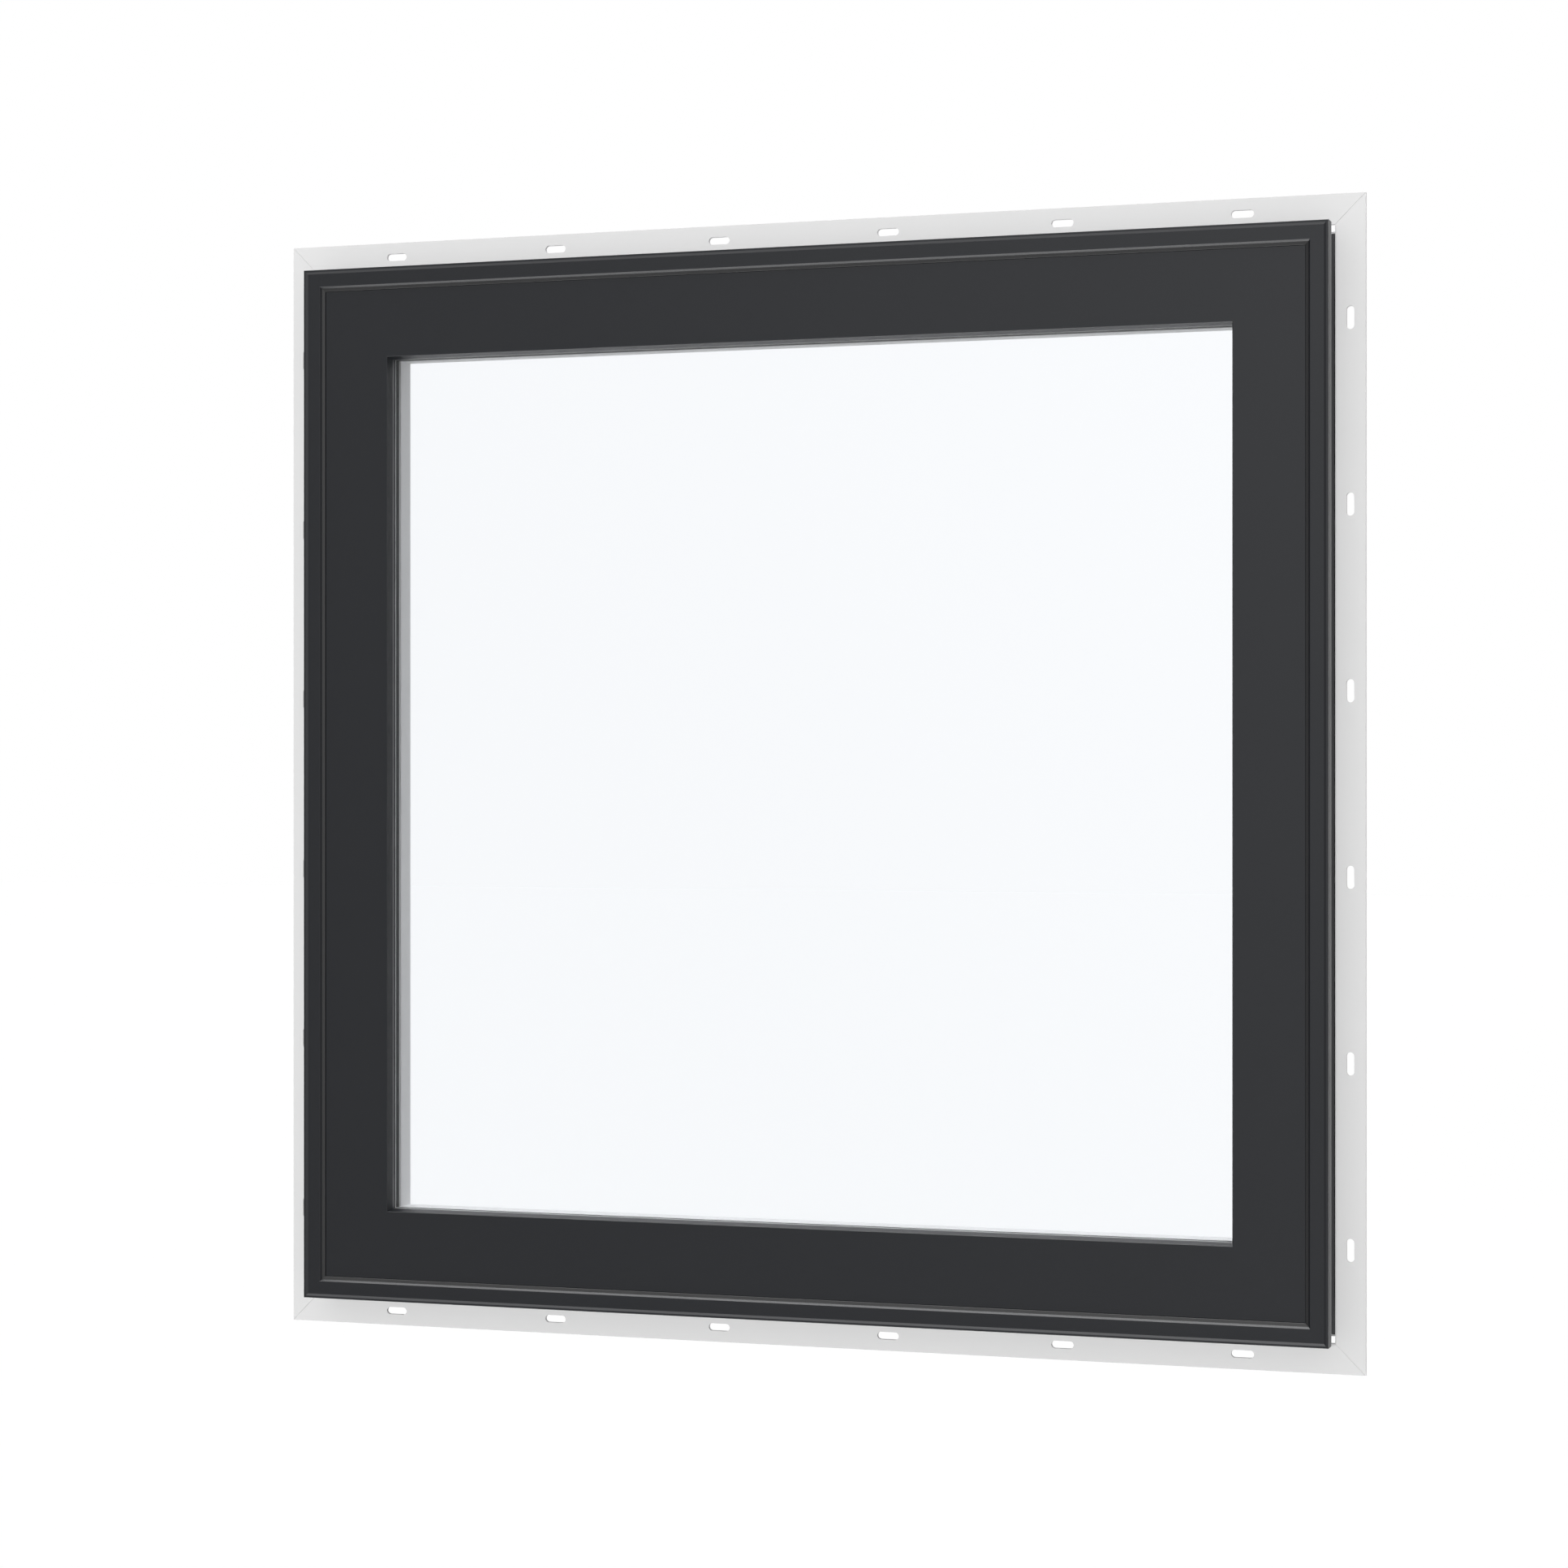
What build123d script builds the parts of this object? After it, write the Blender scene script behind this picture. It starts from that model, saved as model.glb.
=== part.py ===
from build123d import *
import os

os.makedirs("parts", exist_ok=True)

# Awning window with a nail fin, closed. Millimetres: X along the wall, +Y into the room, +Z up.
# The origin is on the back face of the sill's fin, on its slot line, at the middle of the width.

# Frame
frame_width = 914.4
frame_height = 914.4
frame_depth = 82.5
rim_width = 1.8
rim_height = 1.0
rim_bevel = 2.0
border_inset = 15.1
border_bevel = 1.5
border_bevel_depth = 1.8
lip_depth = 15.5
lip_groove = 0.6
side_inset = 6.2
shoulder_inset = 3.5
shoulder_depth = 8.0
white_side_inset = 1.0
cladding_wall = 1.5
foot_from_lip = 2.0
foot_edge_inset = 0.4
foot_edge = 1.0
foot_fin_clearance = 0.2
foot_trim = 8.0
stop_inset = 37.2
stop_round = 2.0
extension_kerf_inset = 4.5
extension_kerf_width = 3.0
extension_kerf_depth = 6.0

# Walls and small radii of the extruded profiles
vinyl_wall = 2.0
vinyl_web = 1.5
lip_wall = 1.6
arris_round = 0.5
bead_joint_round = 0.4
mitre_groove_width = 0.5
mitre_groove_depth = 0.6

# Nail fin
fin_reach = 25.4
fin_thickness = 3.0
fin_to_front = 31.5
fin_to_white = 30.0
fin_gap = 0.3
fin_leg_wall = 2.2
fin_leg_depth = 38.0
fin_leg_trim = 30.0
fin_hook_wall = 1.8
fin_hook_reach = 2.2
fin_hook_from_end = 4.0
fin_hook_clearance = 0.2
slot_length = 19.05
slot_width = 6.35
slot_pitch = 152.4
slot_from_edge = 12.7
slot_end_margin = 76.2

# Sash
sash_setback = 4.5
sash_face_width = 59.8
sash_depth = 51.5
sash_bevel = 1.9
sash_bevel_depth = 7.5
sash_cladding_wall = 1.8
sash_return = 6.0
sash_side_clearance = 3.9
glazing_leg_wall = 5.0
hardware_groove_width = 14.0
hardware_groove_depth = 3.0

# Seals
seal_width = 2.7
seal_set_in = 0.2
seal_fall = 0.9
seal_round = 0.4
inner_seal_thickness = 3.0
inner_seal_width = 9.0
inner_seal_set_in = 3.0

# Insulated glass
glass_set_back = 11.5
pane_thickness = 4.0
pane_gap = 10.0
glass_bite = 9.8
glass_edge_clearance = 2.0
spacer_width = 7.0
spacer_set_in = 0.5

# Glazing bead
bead_set_in = 0.7
bead_round = 2.0
bead_lap = 3.0
bead_lap_depth = 4.0
bead_touch = 7.1
bead_relief = 3.5
bead_foot_from_glass = 8.0
bead_foot_width = 2.5
bead_foot_reach = 1.8
bead_foot_clearance = 0.2
bead_wall = 1.6

# Crank operator on the sill, inside
operator_length = 156.0
operator_height = 17.0
operator_front_height = 5.0
operator_slope_run = 14.0
operator_back_gap = 1.0
operator_end_round = 11.0
operator_round = 1.5
arm_recess_depth = 1.5
arm_recess_margin = 0.6
collar_radius = 5.5
collar_height = 0.9
spindle_radius = 3.5
spindle_clearance = 0.1
spindle_proud = 0.8
hub_offset = 42.0
arm_reach = 86.0
arm_hub_radius = 6.5
arm_end_radius = 4.8
arm_thickness = 5.0
arm_round = 1.2
knob_radius = 5.2
knob_waist_radius = 3.6
knob_foot_radius = 4.4
knob_height = 17.0
knob_round = 1.6

# Sash locks on the jambs, inside
lock_height = 230.0
lock_plate_length = 84.0
lock_plate_width = 22.0
lock_plate_thickness = 3.0
lock_plate_corner = 5.0
lock_plate_round = 1.0
lock_boss_radius = 8.0
lock_boss_height = 3.0
lock_lever_reach = 50.0
lock_lever_hub_radius = 7.5
lock_lever_end_radius = 4.5
lock_lever_thickness = 5.0
lock_lever_lift = 6.0
lock_lever_round = 1.0

# Depths along Y, measured from the back face of the fin
fin_front = -fin_thickness
rim_front = fin_front - fin_to_front
border_front = rim_front + rim_height
lip_back = rim_front + lip_depth
white_front = fin_front + fin_to_white
shoulder_front = white_front - shoulder_depth
frame_back = rim_front + frame_depth
sash_front = rim_front + sash_setback
sash_back = sash_front + sash_depth
seal_back = sash_front + sash_return
stop_front = sash_back + inner_seal_thickness
glass_front = sash_front + glass_set_back
glass_back = glass_front + 2 * pane_thickness + pane_gap

# Insets, measured in from the outer edge of the frame
valley_inset = border_inset + border_bevel
sash_inset = valley_inset + seal_width
sash_bevel_inset = sash_inset + sash_face_width
daylight_inset = sash_bevel_inset + sash_bevel
sash_side_inset = sash_inset + sash_side_clearance
glass_inset = daylight_inset - glass_bite
pocket_inset = glass_inset - glass_edge_clearance
bead_inset = daylight_inset - bead_set_in

# Heights
frame_bottom = fin_reach - slot_from_edge
centre_z = frame_bottom + frame_height / 2
wedge_reach = fin_reach + 1.0
wedge_depth = daylight_inset + 10.0

# Each side: turn about Y, place of its outer edge, and length along that edge
sides = {
    "head": (0, (0, 0, centre_z + frame_height / 2), frame_width),
    "sill": (180, (0, 0, centre_z - frame_height / 2), frame_width),
    "left": (-90, (-frame_width / 2, 0, centre_z), frame_height),
    "right": (90, (frame_width / 2, 0, centre_z), frame_height),
}


# The face inside an outline of (inset, depth) points, with some of its corners rounded.
# A chamber is cut between (outer inset, front depth) and (inner inset, back depth).
def profile(outline, rounds=(), chambers=()):
    points = [(depth, -inset) for inset, depth in outline]
    face = make_face(Polyline(*points, close=True))
    for corner, radius in rounds:
        spot = Vector(*points[corner])
        face = fillet(face.vertices().sort_by_distance(spot)[0], radius)
    for outer, front, inner, back in chambers:
        hollow = Rectangle(back - front, inner - outer)
        face = face - Pos((front + back) / 2, -(outer + inner) / 2) * hollow
    return Plane.YZ * face


# The space between the two 45 degree mitres at the ends of one side
def mitre_wedge(run):
    outer = run / 2 + wedge_reach
    inner = run / 2 - wedge_depth
    corners = [
        (-outer, wedge_reach),
        (outer, wedge_reach),
        (inner, -wedge_depth),
        (-inner, -wedge_depth),
    ]
    face = make_face(Polyline(*corners, close=True))
    return extrude(Plane.XZ * face, amount=2 * frame_depth, both=True)


def mitred_bar(outline, run, rounds=(), chambers=()):
    stock = extrude(profile(outline, rounds, chambers), amount=run / 2 + wedge_reach, both=True)
    return stock & mitre_wedge(run)


# The bar's half of the fine groove along each of its two mitres, in its face at one depth
def mitre_groove(bar, run, depth):
    cutter = Box(4 * wedge_depth, 2 * mitre_groove_depth, mitre_groove_width)
    for end in (-1, 1):
        bar = bar - Pos(end * run / 2, depth, 0) * Rot(0, -45 * end, 0) * cutter
    return bar


def place(piece, side):
    turn, spot, run = sides[side]
    return Pos(*spot) * Rot(0, turn, 0) * piece


def save(piece, name):
    piece.label = name
    export_step(piece, f"parts/{name}.step")


# Nail fin: a slotted flange on the wall, and a leg with a hook that sits in the frame's kerf
def nail_fin(run):
    flange_outline = [
        (-fin_reach, fin_front),
        (-fin_gap, fin_front),
        (-fin_gap, 0),
        (-fin_reach, 0),
    ]
    flange = mitre_groove(mitred_bar(flange_outline, run), run, fin_front)
    hook_back = fin_leg_depth - fin_hook_from_end
    leg_outline = [
        (-fin_gap - fin_leg_wall, fin_front),
        (-fin_gap, fin_front),
        (-fin_gap, hook_back - fin_hook_wall),
        (white_side_inset + fin_hook_reach, hook_back - fin_hook_wall),
        (white_side_inset + fin_hook_reach, hook_back),
        (-fin_gap, hook_back),
        (-fin_gap, fin_leg_depth),
        (-fin_gap - fin_leg_wall, fin_leg_depth),
    ]
    leg = extrude(profile(leg_outline), amount=run / 2 - fin_leg_trim, both=True)
    count = int((run - 2 * slot_end_margin) / slot_pitch + 1.001)
    slot_line = fin_reach - slot_from_edge
    slot = Plane.XZ * SlotOverall(slot_length, slot_width)
    cutter = extrude(slot, amount=2 * fin_thickness, both=True)
    first = -slot_pitch * (count - 1) / 2
    cuts = [Pos(first + slot_pitch * index, 0, slot_line) * cutter for index in range(count)]
    return flange + leg - cuts


# White frame profile: the sash pocket, the inner stop, the kerf that takes the fin's hook, a kerf
# for a jamb extension in its room side, and four chambers inside
def frame_profile(run):
    kerf_back = fin_leg_depth - fin_hook_from_end + fin_hook_clearance
    kerf_front = kerf_back - fin_hook_wall - 2 * fin_hook_clearance
    kerf_floor = white_side_inset + fin_hook_reach + fin_hook_clearance
    skin_inset = side_inset + cladding_wall
    shoulder_skin = shoulder_inset + cladding_wall
    outline = [
        (valley_inset, seal_back),
        (sash_inset, seal_back),
        (sash_inset, stop_front),
        (stop_inset, stop_front),
        (stop_inset, frame_back),
        (extension_kerf_inset + extension_kerf_width, frame_back),
        (extension_kerf_inset + extension_kerf_width, frame_back - extension_kerf_depth),
        (extension_kerf_inset, frame_back - extension_kerf_depth),
        (extension_kerf_inset, frame_back),
        (white_side_inset, frame_back),
        (white_side_inset, kerf_back),
        (kerf_floor, kerf_back),
        (kerf_floor, kerf_front),
        (white_side_inset, kerf_front),
        (white_side_inset, white_front),
        (shoulder_skin, white_front),
        (shoulder_skin, shoulder_front + cladding_wall),
        (skin_inset, shoulder_front + cladding_wall),
        (skin_inset, lip_back),
        (valley_inset, lip_back),
    ]
    chamber_outer = skin_inset + vinyl_wall
    chamber_inner = sash_inset - vinyl_wall
    web_middle = (lip_back + white_front) / 2
    web_back = white_front + vinyl_web / 2
    room_end = frame_back - extension_kerf_depth - vinyl_wall
    chambers = [
        (chamber_outer, lip_back + vinyl_wall, chamber_inner, web_middle - vinyl_web / 2),
        (chamber_outer, web_middle + vinyl_web / 2, chamber_inner, white_front - vinyl_web / 2),
        (kerf_floor + vinyl_wall, web_back, chamber_inner, room_end),
        (sash_inset, stop_front + vinyl_wall, stop_inset - vinyl_wall, frame_back - vinyl_wall),
    ]
    rounds = [(3, stop_round), (4, stop_round), (9, arris_round)]
    return mitre_groove(mitred_bar(outline, run, rounds, chambers), run, frame_back)


# Dark outer profile of the frame: rim, border and bevel in front, a skin down the side, and a
# sloped foot that closes the side channel in front of the fin and stops short of the corners
def frame_cladding(run):
    groove_front = rim_front + lip_depth / 2 - lip_groove
    groove_back = rim_front + lip_depth / 2 + lip_groove
    outline = [
        (0, rim_front),
        (rim_width, rim_front),
        (rim_width + rim_bevel, border_front),
        (border_inset, border_front),
        (valley_inset, border_front + border_bevel_depth),
        (valley_inset, lip_back),
        (side_inset + cladding_wall, lip_back),
        (side_inset + cladding_wall, shoulder_front + cladding_wall),
        (shoulder_inset + cladding_wall, shoulder_front + cladding_wall),
        (shoulder_inset + cladding_wall, white_front),
        (shoulder_inset, white_front),
        (shoulder_inset, shoulder_front),
        (side_inset, shoulder_front),
        (side_inset, lip_back),
        (0, lip_back),
        (0, groove_back),
        (lip_groove, groove_back),
        (lip_groove, groove_front),
        (0, groove_front),
    ]
    chamber_inner = border_inset - lip_wall
    chambers = [(rim_width + rim_bevel, border_front + lip_wall, chamber_inner, lip_back - lip_wall)]
    rounds = [(0, arris_round), (1, arris_round), (3, arris_round), (11, arris_round), (14, arris_round)]
    foot_back = fin_front - foot_fin_clearance
    foot_outline = [
        (side_inset, lip_back + foot_from_lip),
        (foot_edge_inset, foot_back - foot_edge),
        (foot_edge_inset, foot_back),
        (side_inset, foot_back),
    ]
    foot = extrude(profile(foot_outline), amount=run / 2 - foot_trim, both=True)
    return mitred_bar(outline, run, rounds, chambers) + foot


# White sash profile: glass pocket, bead groove, the hardware groove round its edge, and four chambers
def sash_profile(run):
    groove_middle = (seal_back + sash_back) / 2
    groove_front = groove_middle - hardware_groove_width / 2
    groove_back = groove_middle + hardware_groove_width / 2
    groove_floor = sash_side_inset + hardware_groove_depth
    foot_front = glass_back + bead_foot_from_glass - bead_foot_clearance
    foot_back = glass_back + bead_foot_from_glass + bead_foot_width + bead_foot_clearance
    foot_floor = pocket_inset - bead_foot_reach - bead_foot_clearance
    core_front = sash_front + sash_cladding_wall
    return_inset = sash_inset + sash_cladding_wall
    leg_inset = daylight_inset - glazing_leg_wall
    outline = [
        (return_inset, core_front),
        (leg_inset, core_front),
        (leg_inset, glass_front),
        (pocket_inset, glass_front),
        (pocket_inset, foot_front),
        (foot_floor, foot_front),
        (foot_floor, foot_back),
        (pocket_inset, foot_back),
        (pocket_inset, sash_back - bead_lap_depth),
        (pocket_inset - bead_lap, sash_back - bead_lap_depth),
        (pocket_inset - bead_lap, sash_back),
        (sash_side_inset, sash_back),
        (sash_side_inset, groove_back),
        (groove_floor, groove_back),
        (groove_floor, groove_front),
        (sash_side_inset, groove_front),
        (sash_side_inset, seal_back),
        (return_inset, seal_back),
    ]
    chamber_outer = groove_floor + vinyl_wall
    chamber_inner = min(foot_floor, pocket_inset - bead_lap) - vinyl_wall
    front_web = glass_front + vinyl_web
    back_web = groove_back + vinyl_web
    chambers = [
        (chamber_outer, core_front + vinyl_wall, leg_inset - vinyl_wall, glass_front - vinyl_wall),
        (chamber_outer, front_web, chamber_inner, back_web - vinyl_web),
        (chamber_outer, back_web, chamber_inner, sash_back - vinyl_wall),
    ]
    rounds = [(10, bead_joint_round), (11, arris_round)]
    return mitre_groove(mitred_bar(outline, run, rounds, chambers), run, sash_back)


# Dark outer profile of the sash: flat face, inner bevel and the leg that the glass beds on
def sash_cladding(run):
    core_front = sash_front + sash_cladding_wall
    return_inset = sash_inset + sash_cladding_wall
    leg_inset = daylight_inset - glazing_leg_wall
    outline = [
        (sash_inset, sash_front),
        (sash_bevel_inset, sash_front),
        (daylight_inset, sash_front + sash_bevel_depth),
        (daylight_inset, glass_front),
        (leg_inset, glass_front),
        (leg_inset, core_front),
        (return_inset, core_front),
        (return_inset, seal_back),
        (sash_inset, seal_back),
    ]
    return mitred_bar(outline, run, [(0, arris_round), (1, arris_round), (2, arris_round)])


# Weather seal between the frame's bevel and the edge of the sash
def weather_seal(run):
    seal_front = border_front + border_bevel_depth + seal_set_in
    outline = [
        (valley_inset, seal_front),
        (sash_inset, seal_front + seal_fall),
        (sash_inset, seal_back),
        (valley_inset, seal_back),
    ]
    return mitred_bar(outline, run, [(1, seal_round)])


# Spacer bar between the two panes
def spacer_bar(run):
    front = glass_front + pane_thickness
    inner_edge = daylight_inset - spacer_set_in
    outline = [
        (inner_edge, front),
        (inner_edge, front + pane_gap),
        (inner_edge - spacer_width, front + pane_gap),
        (inner_edge - spacer_width, front),
    ]
    return mitred_bar(outline, run)


# Glazing bead: holds the glass from inside, with a foot that snaps into the sash
def glazing_bead(run):
    foot_front = glass_back + bead_foot_from_glass
    foot_back = foot_front + bead_foot_width
    outline = [
        (bead_inset, glass_back),
        (bead_inset, sash_back),
        (pocket_inset - bead_lap, sash_back),
        (pocket_inset - bead_lap, sash_back - bead_lap_depth),
        (pocket_inset, sash_back - bead_lap_depth),
        (pocket_inset, foot_back),
        (pocket_inset - bead_foot_reach, foot_back),
        (pocket_inset - bead_foot_reach, foot_front),
        (pocket_inset, foot_front),
        (pocket_inset, glass_back + bead_relief),
        (bead_inset - bead_touch, glass_back + bead_relief),
        (bead_inset - bead_touch, glass_back),
    ]
    chamber_back = sash_back - bead_wall
    chambers = [(pocket_inset + bead_wall, foot_front, bead_inset - bead_wall, chamber_back)]
    rounds = [(1, bead_round), (2, bead_joint_round)]
    return mitre_groove(mitred_bar(outline, run, rounds, chambers), run, sash_back)


# One pane, from its front face's depth
def pane(front):
    wide = frame_width - 2 * glass_inset
    high = frame_height - 2 * glass_inset
    return Pos(0, front + pane_thickness / 2, centre_z) * Box(wide, pane_thickness, high)


# Inner seal: one closed ring between the sash's inner face and the frame's stop
def inner_seal():
    outer_inset = sash_side_inset + inner_seal_set_in
    inner_inset = outer_inset + inner_seal_width
    outer = Box(frame_width - 2 * outer_inset, inner_seal_thickness, frame_height - 2 * outer_inset)
    hole = Box(frame_width - 2 * inner_inset, frame_depth, frame_height - 2 * inner_inset)
    return Pos(0, sash_back + inner_seal_thickness / 2, centre_z) * (outer - hole)


# The operator's housing stands on the sill's inner ledge, and its front slopes to the room
ledge_z = frame_bottom + stop_inset
operator_back = stop_front + operator_back_gap
operator_front = frame_back
slope_rise = operator_height - operator_front_height
slope_middle = (
    0,
    operator_front - operator_slope_run / 2,
    ledge_z + (operator_height + operator_front_height) / 2,
)
slope_plane = Plane(origin=slope_middle, x_dir=(1, 0, 0), z_dir=(0, slope_rise, operator_slope_run))


# A tapered eye-to-end outline: a large circle at x = 0 and a small one at x = -reach
def tapered_outline(large, small, reach):
    ends = Circle(large).edges() + (Pos(-reach, 0) * Circle(small)).edges()
    return make_hull(ends)


# A moulded cover with round ends, and a shallow recess that the folded crank lies over
def operator_housing():
    points = [
        (operator_back, ledge_z),
        (operator_front, ledge_z),
        (operator_front, ledge_z + operator_front_height),
        (operator_front - operator_slope_run, ledge_z + operator_height),
        (operator_back, ledge_z + operator_height),
    ]
    section = make_face(Polyline(*points, close=True))
    block = extrude(Plane.YZ * section, amount=operator_length / 2, both=True)
    depth = operator_front - operator_back
    plan = Rectangle(operator_length, depth)
    front_corners = plan.vertices().sort_by(Axis.Y)[-2:]
    plan = Pos(0, operator_back + depth / 2, ledge_z) * fillet(front_corners, operator_end_round)
    housing = block & extrude(plan, amount=operator_height)
    upper = housing.edges().filter_by(lambda edge: edge.center().Z > ledge_z + 0.9 * operator_front_height)
    housing = fillet(upper, operator_round)
    recess = offset(tapered_outline(arm_hub_radius, arm_end_radius, arm_reach), arm_recess_margin)
    cutter = slope_plane * Pos(hub_offset, 0, -arm_recess_depth) * extrude(recess, amount=operator_height)
    return housing - cutter


# The crank's spindle, with the collar that the arm's eye rests on
def crank_hub():
    collar = Pos(0, 0, collar_height / 2) * Cylinder(collar_radius, collar_height)
    length = collar_height + arm_thickness + spindle_proud
    spindle = Pos(0, 0, length / 2) * Cylinder(spindle_radius, length)
    return slope_plane * Pos(hub_offset, 0, -arm_recess_depth) * (collar + spindle)


def crank_arm():
    blank = extrude(tapered_outline(arm_hub_radius, arm_end_radius, arm_reach), amount=arm_thickness)
    arm = fillet(blank.faces().sort_by(Axis.Z)[-1].edges(), arm_round)
    eye = Cylinder(spindle_radius + spindle_clearance, 3 * arm_thickness)
    return slope_plane * Pos(hub_offset, 0, collar_height - arm_recess_depth) * (arm - eye)


# A waisted knob with a rounded top
def crank_knob():
    foot = Line((0, 0), (knob_foot_radius, 0))
    narrowest = (knob_waist_radius, knob_height / 3)
    waist = ThreePointArc((knob_foot_radius, 0), narrowest, (knob_radius, knob_height))
    top = Line((knob_radius, knob_height), (0, knob_height))
    middle = Line((0, knob_height), (0, 0))
    face = make_face(foot + waist + top + middle)
    knob = revolve(Plane.XZ * face, Axis.Z)
    knob = fillet(knob.edges().sort_by(Axis.Z)[-1], knob_round)
    seat = collar_height - arm_recess_depth + arm_thickness
    return slope_plane * Pos(hub_offset - arm_reach, 0, seat) * knob


# A lock stands on the flat of a jamb between its kerf and its inner edge
def lock_face(sign, depth):
    flat_middle = (stop_inset + extension_kerf_inset + extension_kerf_width) / 2
    origin = (sign * (frame_width / 2 - flat_middle), depth, frame_bottom + lock_height)
    return Plane(origin=origin, x_dir=(-1, 0, 0), z_dir=(0, 1, 0))


# A rounded escutcheon with the boss that the lever turns on
def lock_plate(sign):
    outline = RectangleRounded(lock_plate_width, lock_plate_length, lock_plate_corner)
    blank = extrude(outline, amount=lock_plate_thickness)
    plate = fillet(blank.faces().sort_by(Axis.Z)[-1].edges(), lock_plate_round)
    boss = extrude(Circle(lock_boss_radius), amount=lock_plate_thickness + lock_boss_height)
    return lock_face(sign, frame_back) * (plate + boss)


# A tapered lever that points down and curves away from the jamb
def lock_lever(sign):
    front = Rot(0, 0, 90) * tapered_outline(lock_lever_hub_radius, lock_lever_end_radius, lock_lever_reach)
    blank = extrude(front, amount=lock_lever_lift + lock_lever_thickness)
    top = lock_lever_hub_radius
    bend = -lock_lever_hub_radius
    tip = -lock_lever_reach - lock_lever_end_radius
    under = Line((top, 0), (bend, 0))
    hollow = TangentArc((bend, 0), (tip, lock_lever_lift), tangent=(-1, 0))
    end = Line((tip, lock_lever_lift), (tip, lock_lever_lift + lock_lever_thickness))
    crown = TangentArc(
        (bend, lock_lever_thickness), (tip, lock_lever_lift + lock_lever_thickness), tangent=(-1, 0)
    )
    over = Line((bend, lock_lever_thickness), (top, lock_lever_thickness))
    close = Line((top, lock_lever_thickness), (top, 0))
    side = make_face(under + hollow + end + crown + over + close)
    lever = blank & extrude(Plane.YZ * side, amount=lock_lever_hub_radius, both=True)
    crown_faces = lever.faces().filter_by(lambda face: face.normal_at().Z > 0.5)
    lever = fillet(crown_faces.edges(), lock_lever_round)
    return lock_face(sign, frame_back + lock_plate_thickness + lock_boss_height) * lever


frame_names = {
    "head": "frame_head",
    "sill": "frame_sill",
    "left": "frame_jamb_left",
    "right": "frame_jamb_right",
}
sash_names = {
    "head": "sash_top_rail",
    "sill": "sash_bottom_rail",
    "left": "sash_stile_left",
    "right": "sash_stile_right",
}

for side, (turn, spot, run) in sides.items():
    save(place(nail_fin(run), side), f"nail_fin_{side}")
    save(place(frame_profile(run), side), frame_names[side])
    save(place(frame_cladding(run), side), f"frame_cladding_{side}")
    save(place(sash_profile(run), side), sash_names[side])
    save(place(sash_cladding(run), side), f"sash_cladding_{side}")
    save(place(weather_seal(run), side), f"weather_seal_{side}")
    save(place(spacer_bar(run), side), f"glass_spacer_{side}")
    save(place(glazing_bead(run), side), f"glazing_bead_{side}")

save(pane(glass_front), "glass_outer")
save(pane(glass_back - pane_thickness), "glass_inner")
save(inner_seal(), "inner_seal")
save(operator_housing(), "operator_housing")
save(crank_hub(), "crank_hub")
save(crank_arm(), "crank_arm")
save(crank_knob(), "crank_knob")
for name, sign in (("left", -1), ("right", 1)):
    save(lock_plate(sign), f"lock_plate_{name}")
    save(lock_lever(sign), f"lock_lever_{name}")
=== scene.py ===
import math

import bmesh
import bpy
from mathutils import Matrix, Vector


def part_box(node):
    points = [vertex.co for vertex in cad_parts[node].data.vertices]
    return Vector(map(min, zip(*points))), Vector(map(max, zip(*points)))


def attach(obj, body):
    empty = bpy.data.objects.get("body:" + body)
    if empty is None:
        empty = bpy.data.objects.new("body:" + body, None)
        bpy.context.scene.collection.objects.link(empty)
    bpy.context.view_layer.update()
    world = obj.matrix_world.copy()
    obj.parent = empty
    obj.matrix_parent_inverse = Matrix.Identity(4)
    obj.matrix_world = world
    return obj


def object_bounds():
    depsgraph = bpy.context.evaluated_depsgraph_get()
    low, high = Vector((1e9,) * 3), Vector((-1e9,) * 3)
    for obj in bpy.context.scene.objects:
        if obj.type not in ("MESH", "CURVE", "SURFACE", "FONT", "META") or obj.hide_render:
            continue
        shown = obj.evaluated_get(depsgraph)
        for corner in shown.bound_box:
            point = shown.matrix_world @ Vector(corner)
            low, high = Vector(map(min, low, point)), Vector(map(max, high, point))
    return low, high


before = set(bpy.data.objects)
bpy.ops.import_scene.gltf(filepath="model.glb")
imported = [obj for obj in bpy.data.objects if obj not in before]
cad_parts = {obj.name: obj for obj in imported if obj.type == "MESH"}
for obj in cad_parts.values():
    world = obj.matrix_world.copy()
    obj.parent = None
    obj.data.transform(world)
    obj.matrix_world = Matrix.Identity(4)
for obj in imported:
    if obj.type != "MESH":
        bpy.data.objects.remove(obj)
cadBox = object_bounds()
print("frame loaded with", len(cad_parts), "nodes")

# Where the photograph was taken from, in metres from the middle of the window's fin plane
cameraPlace = {
    "toTheRight": 0.9379,
    "inFront": 2.8851,
    "turnDegrees": 18.316,
    "focalPixels": 4355.4,
    "imagePixels": 1932,
    "sensorWidth": 36.0,
    "farthest": 200.0,
}


def nodeTree(name):
    material = bpy.data.materials.new(name)
    material.use_nodes = True
    tree = material.node_tree
    shader = tree.nodes["Principled BSDF"]
    return material, tree, shader


def addNode(tree, kind, **settings):
    node = tree.nodes.new(kind)
    for key, value in settings.items():
        setattr(node, key, value)
    return node


noiseSpread = {
    "detail": 3.0,
    "low": 0.3,     # most of the noise lies between these two
    "high": 0.7,
}


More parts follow.
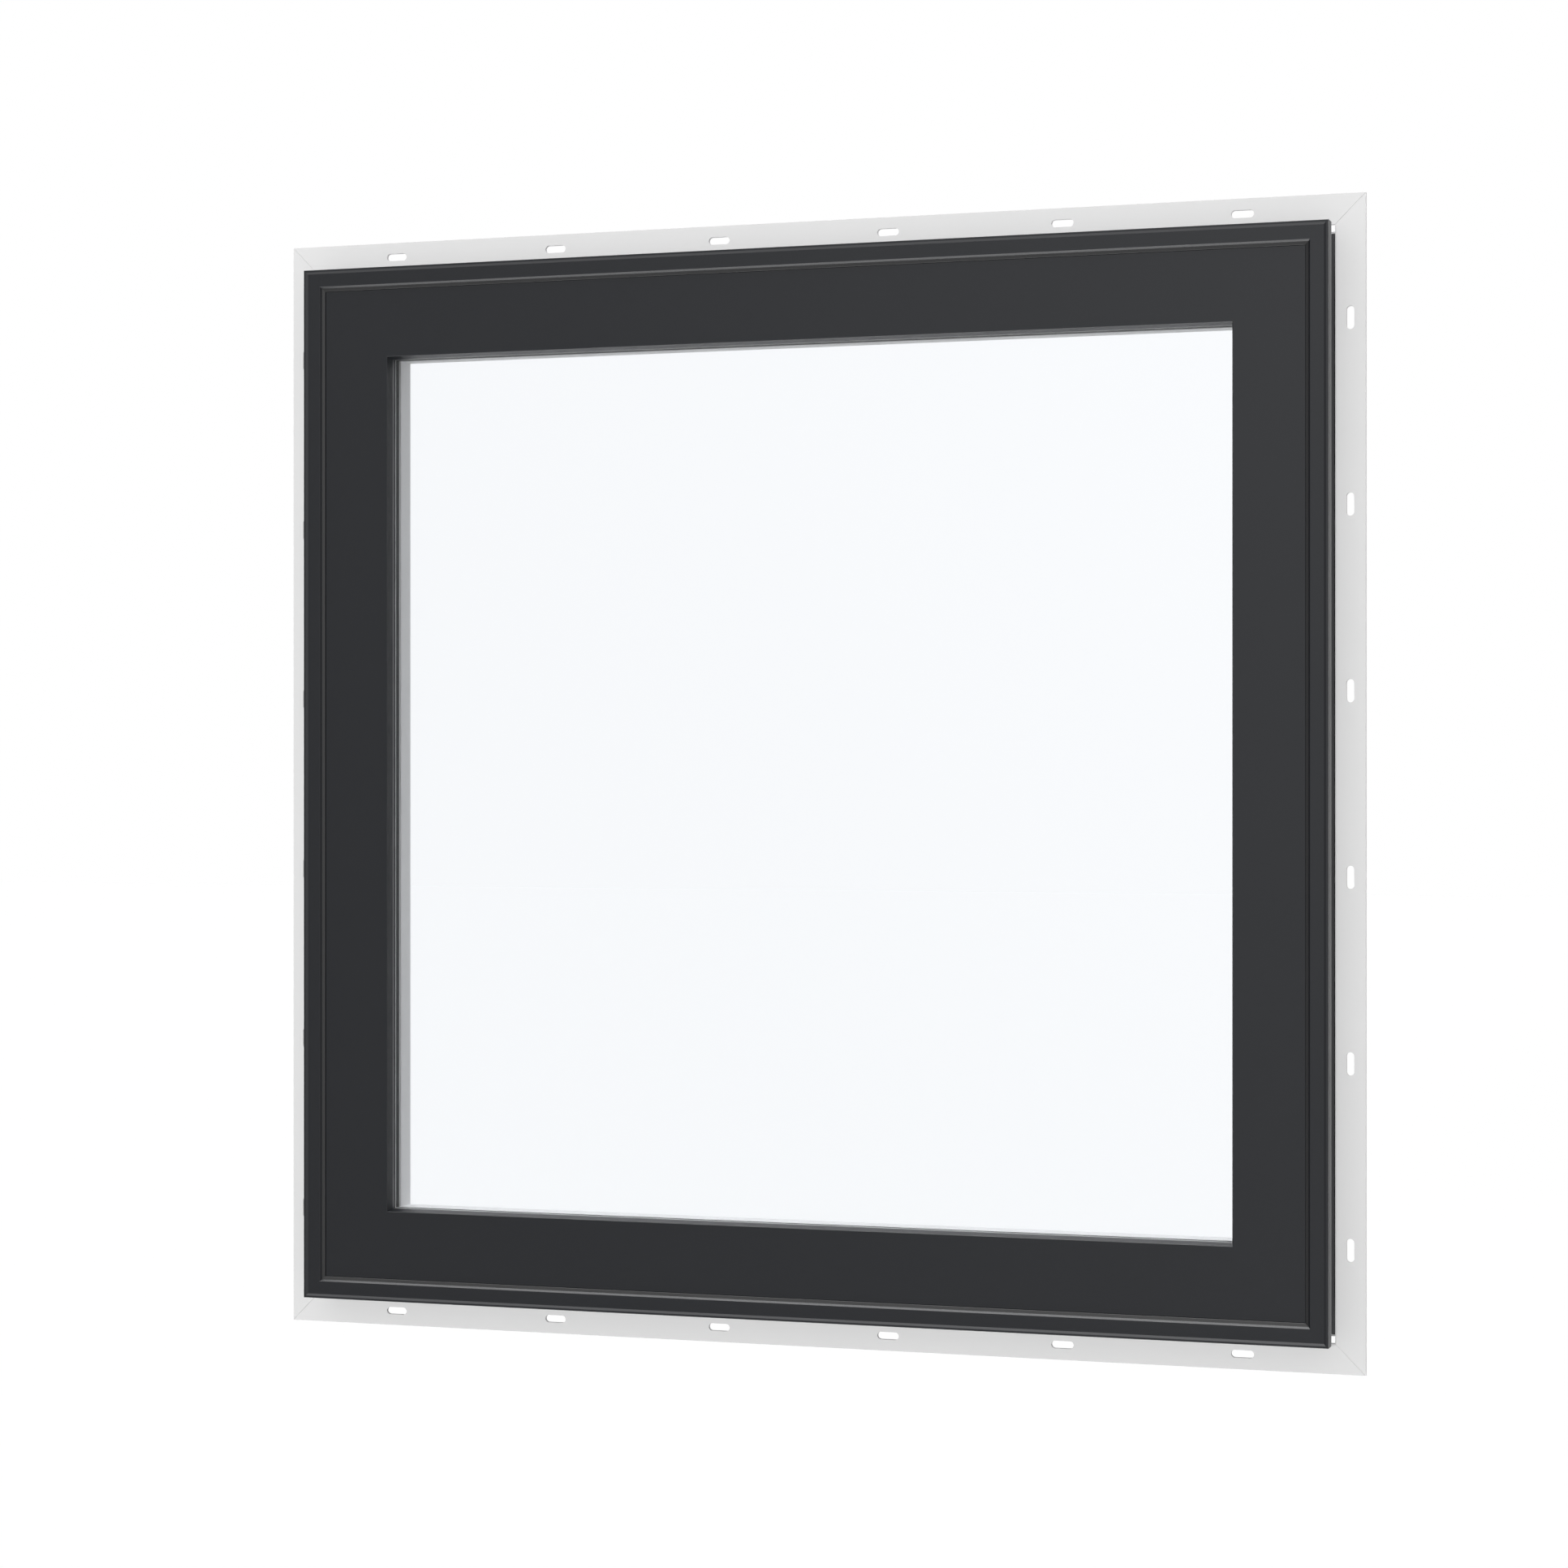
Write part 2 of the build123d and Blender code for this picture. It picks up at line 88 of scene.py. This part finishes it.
# Noise in metres, stretched along the way that the bar was extruded
def grainNoise(tree, cellSize, along, stretch=1.0):
    place = addNode(tree, "ShaderNodeTexCoord")
    scale = addNode(tree, "ShaderNodeMapping")
    size = [1.0 / cellSize] * 3
    if along is not None:
        size["XYZ".index(along)] = 1.0 / (cellSize * stretch)
    scale.inputs["Scale"].default_value = size
    noise = addNode(tree, "ShaderNodeTexNoise")
    noise.inputs["Scale"].default_value = 1.0
    noise.inputs["Detail"].default_value = noiseSpread["detail"]
    tree.links.new(place.outputs["Object"], scale.inputs["Vector"])
    tree.links.new(scale.outputs["Vector"], noise.inputs["Vector"])
    return noise


# Spreads the noise over the range from low to high
def rangeOf(tree, noise, low, high):
    ramp = addNode(tree, "ShaderNodeMapRange")
    ramp.inputs["From Min"].default_value = noiseSpread["low"]
    ramp.inputs["From Max"].default_value = noiseSpread["high"]
    ramp.inputs["To Min"].default_value = low
    ramp.inputs["To Max"].default_value = high
    tree.links.new(noise.outputs["Fac"], ramp.inputs["Value"])
    return ramp


def mixedColour(tree, noise, first, second):
    mix = addNode(tree, "ShaderNodeMix", data_type="RGBA")
    mix.inputs[6].default_value = (*first, 1.0)
    mix.inputs[7].default_value = (*second, 1.0)
    tree.links.new(noise.outputs["Fac"], mix.inputs["Factor"])
    return mix


def addBump(tree, shader, noise, depth, strength):
    bump = addNode(tree, "ShaderNodeBump")
    bump.inputs["Distance"].default_value = depth
    bump.inputs["Strength"].default_value = strength
    tree.links.new(noise.outputs["Fac"], bump.inputs["Height"])
    tree.links.new(bump.outputs["Normal"], shader.inputs["Normal"])


# Satin extruded plastic: a faint drawn grain along the bar and a fine pebble
def extrudedFinish(name, along, look):
    material, tree, shader = nodeTree(name)
    broad = grainNoise(tree, look["patchSize"], None)
    drawn = grainNoise(tree, look["grainSize"], along, look["grainStretch"])
    tint = mixedColour(tree, broad, look["colour"], look["secondColour"])
    tree.links.new(tint.outputs[2], shader.inputs["Base Color"])
    gloss = rangeOf(tree, drawn, look["roughLow"], look["roughHigh"])
    tree.links.new(gloss.outputs["Result"], shader.inputs["Roughness"])
    shader.inputs["Specular IOR Level"].default_value = look["specular"]
    addBump(tree, shader, drawn, look["grainDepth"], look["grainStrength"])
    return material


charcoalLook = {
    "colour": (0.0030, 0.0037, 0.0055),
    "secondColour": (0.0040, 0.0047, 0.0065),
    "patchSize": 0.05,
    "grainSize": 0.0006,
    "grainStretch": 30.0,
    "roughLow": 0.30,
    "roughHigh": 0.36,
    "specular": 0.45,
    "grainDepth": 0.00001,
    "grainStrength": 0.25,
}
whiteLook = {
    "colour": (0.80, 0.80, 0.805),
    "secondColour": (0.82, 0.82, 0.82),
    "patchSize": 0.08,
    "grainSize": 0.0006,
    "grainStretch": 40.0,
    "roughLow": 0.34,
    "roughHigh": 0.42,
    "specular": 0.5,
    "grainDepth": 0.00002,
    "grainStrength": 0.3,
}
finLook = {
    "colour": (0.725, 0.725, 0.725),
    "secondColour": (0.745, 0.745, 0.745),
    "patchSize": 0.08,
    "grainSize": 0.0008,
    "grainStretch": 40.0,
    "roughLow": 0.45,
    "roughHigh": 0.55,
    "specular": 0.4,
    "grainDepth": 0.00002,
    "grainStrength": 0.3,
}
spacerLook = {
    "colour": (0.020, 0.021, 0.024),
    "secondColour": (0.028, 0.029, 0.032),
    "patchSize": 0.01,
    "grainSize": 0.0004,
    "grainStretch": 25.0,
    "roughLow": 0.50,
    "roughHigh": 0.60,
    "specular": 0.15,
    "grainDepth": 0.00001,
    "grainStrength": 0.3,
}
sealLook = {
    "colour": (0.0050, 0.0052, 0.0058),
    "secondColour": (0.0065, 0.0067, 0.0073),
    "patchSize": 0.004,
    "grainSize": 0.0005,
    "grainStretch": 10.0,
    "roughLow": 0.34,
    "roughHigh": 0.42,
    "specular": 0.45,
    "grainDepth": 0.00003,
    "grainStrength": 0.4,
}
paintLook = {
    "colour": (0.74, 0.74, 0.735),
    "secondColour": (0.76, 0.76, 0.755),
    "patchSize": 0.02,
    "grainSize": 0.0005,
    "grainStretch": 1.0,
    "roughLow": 0.30,
    "roughHigh": 0.38,
    "specular": 0.25,
    "grainDepth": 0.00002,
    "grainStrength": 0.25,
}


# Clear float glass that lamps shine through
def clearGlass(name, look):
    material, tree, shader = nodeTree(name)
    shader.inputs["Base Color"].default_value = (*look["colour"], 1.0)
    shader.inputs["Roughness"].default_value = look["roughness"]
    shader.inputs["IOR"].default_value = look["ior"]
    shader.inputs["Transmission Weight"].default_value = 1.0
    clear = addNode(tree, "ShaderNodeBsdfTransparent")
    clear.inputs["Color"].default_value = (*look["shadowColour"], 1.0)
    rays = addNode(tree, "ShaderNodeLightPath")
    mix = addNode(tree, "ShaderNodeMixShader")
    tree.links.new(rays.outputs["Is Shadow Ray"], mix.inputs["Fac"])
    tree.links.new(shader.outputs["BSDF"], mix.inputs[1])
    tree.links.new(clear.outputs["BSDF"], mix.inputs[2])
    tree.links.new(mix.outputs["Shader"], tree.nodes["Material Output"].inputs["Surface"])
    return material


glassLook = {
    "colour": (0.972, 0.981, 0.992),
    "shadowColour": (0.92, 0.93, 0.94),
    "roughness": 0.0,
    "ior": 1.45,
}


def setMaterial(piece, material):
    piece.data.materials.clear()
    piece.data.materials.append(material)


# Bars run along X at the head and the sill, and along Z at the jambs
barLooks = {
    "nail_fin": finLook,
    "frame_cladding": charcoalLook,
    "sash_cladding": charcoalLook,
    "weather_seal": sealLook,
    "glass_spacer": spacerLook,
    "glazing_bead": whiteLook,
}
sideRuns = {"head": "X", "sill": "X", "left": "Z", "right": "Z"}
whiteBars = {
    "frame_head": "X",
    "frame_sill": "X",
    "frame_jamb_left": "Z",
    "frame_jamb_right": "Z",
    "sash_top_rail": "X",
    "sash_bottom_rail": "X",
    "sash_stile_left": "Z",
    "sash_stile_right": "Z",
}
hardwareNodes = [
    "operator_housing",
    "crank_hub",
    "crank_arm",
    "crank_knob",
    "lock_plate_left",
    "lock_plate_right",
    "lock_lever_left",
    "lock_lever_right",
]


def dressFrame():
    made = {}
    for kind, look in barLooks.items():
        for side, along in sideRuns.items():
            key = (kind, along)
            if key not in made:
                made[key] = extrudedFinish(f"{kind}_{along}", along, look)
            setMaterial(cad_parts[f"{kind}_{side}"], made[key])
    for node, along in whiteBars.items():
        key = ("white", along)
        if key not in made:
            made[key] = extrudedFinish(f"white_vinyl_{along}", along, whiteLook)
        setMaterial(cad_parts[node], made[key])
    paint = extrudedFinish("white_paint", None, paintLook)
    for node in hardwareNodes:
        setMaterial(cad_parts[node], paint)
    glass = clearGlass("clear_glass", glassLook)
    for node in ("glass_outer", "glass_inner"):
        setMaterial(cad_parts[node], glass)
    setMaterial(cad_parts["inner_seal"], made[("weather_seal", "X")])


dressFrame()
print("finishes on the frame's nodes")

edgeSealant = {
    "depth": 0.0014,        # along the spacer, from each pane
    "width": 0.0005,
    "clearance": 0.00005,
    "steps": 5,             # flats round each bead
    "patchSize": 0.03,
    "colour": (0.62, 0.62, 0.62),
    "secondColour": (0.66, 0.66, 0.66),
}


# A closed profile of (inward, y) points swept round a rectangle with mitred corners
def sweptRing(name, low, high, profile):
    corners = [(low.x, low.z, 1, 1), (high.x, low.z, -1, 1), (high.x, high.z, -1, -1), (low.x, high.z, 1, -1)]
    points = [(x + inX * inward, y, z + inZ * inward) for x, z, inX, inZ in corners for inward, y in profile]
    count = len(profile)
    faces = []
    for corner in range(4):
        here, after = corner * count, (corner + 1) % 4 * count
        for step in range(count):
            beside = (step + 1) % count
            faces.append((here + step, here + beside, after + beside, after + step))
    mesh = bpy.data.meshes.new(name)
    mesh.from_pydata(points, [], faces)
    mesh.validate()
    fixed = bmesh.new()
    fixed.from_mesh(mesh)
    bmesh.ops.recalc_face_normals(fixed, faces=fixed.faces)
    fixed.to_mesh(mesh)
    fixed.free()
    piece = bpy.data.objects.new(name, mesh)
    bpy.context.collection.objects.link(piece)
    return piece


# Light beads of sealant in the two corners where the spacer meets the panes
def layEdgeSealant():
    low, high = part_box("glass_spacer_left")
    innerLow = Vector((high.x, 0.0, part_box("glass_spacer_sill")[1].z))
    innerHigh = Vector((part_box("glass_spacer_right")[0].x, 0.0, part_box("glass_spacer_head")[0].z))
    clear = edgeSealant["clearance"]
    material = extrudedFinish("edge_sealant", None, {**sealLook, **edgeSealant})
    for name, start, way in (("edge_sealant_outer", low.y, 1), ("edge_sealant_inner", high.y, -1)):
        profile = [(clear, start + way * clear)]
        for step in range(edgeSealant["steps"] + 1):
            turn = math.pi / 2 * step / edgeSealant["steps"]
            inward = clear + edgeSealant["width"] * math.cos(turn)
            depth = clear + edgeSealant["depth"] * math.sin(turn)
            profile.append((inward, start + way * depth))
        piece = sweptRing(name, innerLow, innerHigh, profile)
        setMaterial(piece, material)
        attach(piece, "root")


layEdgeSealant()
print("sealant round the panes")

plateScrews = {
    "radius": 0.0031,
    "height": 0.0013,
    "rim": 0.0003,
    "steps": 5,             # rings from the rim to the top
    "segments": 32,
    "recessLength": 0.0034,
    "recessWidth": 0.0008,
    "recessDepth": 0.0008,
    "fromPlateEnd": 0.0085,
    "plateThickness": 0.003,
    "sunk": 0.0002,
    "patchSize": 0.004,
    "turns": (18.0, 64.0, 37.0, 81.0),
}


# A pan head with a cross recess, its axis towards the room
def screwHead(name, place, turn):
    look = plateScrews
    head = bmesh.new()
    rings = [(look["radius"], -look["sunk"]), (look["radius"], look["rim"])]
    for step in range(1, look["steps"]):
        angle = math.pi / 2 * step / look["steps"]
        reach = look["rim"] + (look["height"] - look["rim"]) * math.sin(angle)
        rings.append((look["radius"] * math.cos(angle) ** 0.5, reach))
    count = look["segments"]
    loops = []
    for radius, reach in rings:
        angles = [2 * math.pi * k / count for k in range(count)]
        loops.append([head.verts.new((radius * math.cos(a), reach, radius * math.sin(a))) for a in angles])
    for below, above in zip(loops, loops[1:]):
        for k in range(count):
            after = (k + 1) % count
            head.faces.new((below[k], below[after], above[after], above[k]))
    head.faces.new(loops[0])
    head.faces.new(loops[-1])
    bmesh.ops.recalc_face_normals(head, faces=head.faces)
    mesh = bpy.data.meshes.new(name)
    head.to_mesh(mesh)
    head.free()
    for polygon in mesh.polygons:
        polygon.use_smooth = len(polygon.vertices) == 4
    piece = bpy.data.objects.new(name, mesh)
    bpy.context.collection.objects.link(piece)
    cutRecess(piece, rings[-1][1])
    piece.location = place
    piece.rotation_euler = (0.0, math.radians(turn), 0.0)
    return piece


# Cuts two crossed slots into the head's top
def cutRecess(piece, top):
    look = plateScrews
    arms = ((look["recessLength"], look["recessWidth"]), (look["recessWidth"], look["recessLength"]))
    for long, wide in arms:
        cutter = bmesh.new()
        bmesh.ops.create_cube(cutter, size=1.0)
        bmesh.ops.scale(cutter, vec=(long, 2 * look["recessDepth"], wide), verts=cutter.verts)
        bmesh.ops.translate(cutter, vec=(0.0, top, 0.0), verts=cutter.verts)
        slot = bpy.data.meshes.new("slot")
        cutter.to_mesh(slot)
        cutter.free()
        tool = bpy.data.objects.new("slot", slot)
        bpy.context.collection.objects.link(tool)
        cut = piece.modifiers.new("cut", "BOOLEAN")
        cut.operation = "DIFFERENCE"
        cut.object = tool
        seen = bpy.context.evaluated_depsgraph_get()
        result = bpy.data.meshes.new_from_object(piece.evaluated_get(seen))
        piece.modifiers.clear()
        piece.data = result
        bpy.data.objects.remove(tool)


def fastenLockPlates():
    paint = extrudedFinish("white_screws", None, {**paintLook, "patchSize": plateScrews["patchSize"]})
    turns = iter(plateScrews["turns"])
    for side in ("left", "right"):
        low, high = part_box(f"lock_plate_{side}")
        face = low.y + plateScrews["plateThickness"]
        inset = plateScrews["fromPlateEnd"]
        for end, height in (("upper", high.z - inset), ("lower", low.z + inset)):
            place = Vector(((low.x + high.x) / 2, face, height))
            piece = screwHead(f"lock_screw_{side}_{end}", place, next(turns))
            setMaterial(piece, paint)
            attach(piece, "root")


fastenLockPlates()
print("screws in the lock plates")

lightPlan = {
    "level": 0.63,          # white walls all round, as light on the surfaces
    "moreAbove": 0.30,
    "moreBehind": 0.40,
    "moreToTheLeft": 0.30,
    "glossLevel": 0.54,     # what the gloss shows of the walls
    "glossPeak": 1.10,
    "glossPeakPlace": (0.23, -0.93, 0.29),
    "glossPeakEdge": 0.76,
    "glossAbove": 11.0,
    "glossBelow": 7.5,
    "glossNarrowness": 4.0,
    "keyDegreesUp": 2.0,
    "keySoftness": 8.0,
    "keyStrength": 1.95,
    "roomDegreesUp": 32.0,
    "roomDegreesToTheLeft": 24.0,
    "roomSoftness": 25.0,
    "roomStrength": 0.5,
    "floorDrop": 0.55,
    "floorSize": 60.0,
    "floorColour": 0.52,
    "floorRoughness": 0.9,
    "floorGlow": 0.515,
}


# Sets each socket to a number, or links it to another node's output
def feedSockets(tree, sockets, values):
    for socket, value in zip(sockets, values):
        if isinstance(value, float):
            socket.default_value = value
        else:
            tree.links.new(value, socket)


def joinedMath(tree, operation, first, second):
    node = addNode(tree, "ShaderNodeMath", operation=operation)
    feedSockets(tree, node.inputs, (first, second))
    return node.outputs["Value"]


# True where the background is seen straight on or through glass, and not as light
def seenDirectly(tree, rays):
    straight = joinedMath(
        tree, "MAXIMUM", rays.outputs["Is Camera Ray"], rays.outputs["Is Transmission Ray"]
    )
    notLit = joinedMath(tree, "LESS_THAN", rays.outputs["Diffuse Depth"], 0.5)
    return joinedMath(tree, "MULTIPLY", straight, notLit)


def mixedLevel(tree, share, first, second):
    mix = addNode(tree, "ShaderNodeMix", data_type="FLOAT")
    feedSockets(tree, (mix.inputs["Factor"], mix.inputs[2], mix.inputs[3]), (share, first, second))
    return mix.outputs[0]


def slopeAlong(tree, direction, vector):
    slope = addNode(tree, "ShaderNodeVectorMath", operation="DOT_PRODUCT")
    slope.inputs[1].default_value = vector
    tree.links.new(direction.outputs["Generated"], slope.inputs[0])
    return slope.outputs["Value"]


# White to the camera and through the glass, softer and a little uneven as light and in gloss
def studioWorld():
    world = bpy.data.worlds.new("studio")
    bpy.context.scene.world = world
    world.use_nodes = True
    tree = world.node_tree
    back = tree.nodes["Background"]
    direction = addNode(tree, "ShaderNodeTexCoord")
    rays = addNode(tree, "ShaderNodeLightPath")
    uneven = (-lightPlan["moreToTheLeft"], lightPlan["moreBehind"], lightPlan["moreAbove"])
    lit = joinedMath(tree, "ADD", slopeAlong(tree, direction, uneven), lightPlan["level"])
    near = addNode(tree, "ShaderNodeMapRange", interpolation_type="SMOOTHSTEP")
    near.inputs["From Min"].default_value = lightPlan["glossPeakEdge"]
    near.inputs["From Max"].default_value = 1.0
    near.inputs["To Min"].default_value = lightPlan["glossLevel"]
    near.inputs["To Max"].default_value = lightPlan["glossLevel"] + lightPlan["glossPeak"]
    tree.links.new(slopeAlong(tree, direction, lightPlan["glossPeakPlace"]), near.inputs["Value"])
    gloss = near.outputs["Result"]
    for up, strength in ((1.0, lightPlan["glossAbove"]), (-1.0, lightPlan["glossBelow"])):
        height = joinedMath(tree, "MAXIMUM", slopeAlong(tree, direction, (0.0, 0.0, up)), 0.0)
        steep = joinedMath(tree, "POWER", height, lightPlan["glossNarrowness"])
        gloss = joinedMath(tree, "ADD", gloss, joinedMath(tree, "MULTIPLY", steep, strength))
    litOrGloss = mixedLevel(tree, rays.outputs["Is Glossy Ray"], lit, gloss)
    level = mixedLevel(tree, seenDirectly(tree, rays), litOrGloss, 1.0)
    tree.links.new(level, back.inputs["Strength"])
    back.inputs["Color"].default_value = (1.0, 1.0, 1.0, 1.0)


# Light from far off, which shows in no gloss and through no glass
def farLamp(name, strength, softness, degreesUp, degreesRound):
    lamp = bpy.data.lights.new(name, "SUN")
    lamp.angle = math.radians(softness)
    lamp.energy = strength
    holder = bpy.data.objects.new(name, lamp)
    holder.visible_glossy = False
    holder.visible_transmission = False
    bpy.context.collection.objects.link(holder)
    holder.rotation_euler = (math.radians(90.0 - degreesUp), 0.0, math.radians(degreesRound))


# Level light in front, so that the frame throws no shadow on its fin, and a weaker lamp in the room
def studioLamps():
    farLamp("keyLamp", lightPlan["keyStrength"], lightPlan["keySoftness"], lightPlan["keyDegreesUp"], 0.0)
    farLamp(
        "roomLamp",
        lightPlan["roomStrength"],
        lightPlan["roomSoftness"],
        lightPlan["roomDegreesUp"],
        180.0 + lightPlan["roomDegreesToTheLeft"],
    )


def paleFloor(low):
    half = lightPlan["floorSize"] / 2
    height = low.z - lightPlan["floorDrop"]
    corners = [(-half, -half, height), (half, -half, height), (half, half, height), (-half, half, height)]
    mesh = bpy.data.meshes.new("floor")
    mesh.from_pydata(corners, [], [(0, 1, 2, 3)])
    floor = bpy.data.objects.new("floor", mesh)
    bpy.context.collection.objects.link(floor)
    floor.visible_glossy = False
    material, tree, shader = nodeTree("pale_floor")
    shade = lightPlan["floorColour"]
    shader.inputs["Base Color"].default_value = (shade, shade, shade, 1.0)
    shader.inputs["Roughness"].default_value = lightPlan["floorRoughness"]
    shader.inputs["Specular IOR Level"].default_value = 0.0
    glow = addNode(tree, "ShaderNodeEmission")
    rays = addNode(tree, "ShaderNodeLightPath")
    shown = joinedMath(tree, "MULTIPLY", seenDirectly(tree, rays), lightPlan["floorGlow"])
    tree.links.new(shown, glow.inputs["Strength"])
    both = addNode(tree, "ShaderNodeAddShader")
    tree.links.new(shader.outputs["BSDF"], both.inputs[0])
    tree.links.new(glow.outputs["Emission"], both.inputs[1])
    tree.links.new(both.outputs["Shader"], tree.nodes["Material Output"].inputs["Surface"])
    mesh.materials.append(material)


def photoCamera(middle):
    camera = bpy.data.cameras.new("camera")
    camera.sensor_width = cameraPlace["sensorWidth"]
    camera.lens = cameraPlace["focalPixels"] / cameraPlace["imagePixels"] * cameraPlace["sensorWidth"]
    camera.clip_end = cameraPlace["farthest"]
    holder = bpy.data.objects.new("camera", camera)
    bpy.context.collection.objects.link(holder)
    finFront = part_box("nail_fin_head")[0].y
    holder.location = (cameraPlace["toTheRight"], finFront - cameraPlace["inFront"], middle.z)
    turn = math.radians(cameraPlace["turnDegrees"])
    forward = Vector((-math.sin(turn), math.cos(turn), 0.0))
    holder.rotation_euler = forward.to_track_quat("-Z", "Y").to_euler()
    bpy.context.scene.camera = holder


finLow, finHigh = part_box("nail_fin_left")[0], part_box("nail_fin_right")[1]
middle = (finLow + finHigh) / 2
studioWorld()
studioLamps()
paleFloor(cadBox[0])
photoCamera(middle)
bpy.context.scene.view_settings.view_transform = "Standard"
print("studio, floor and camera")
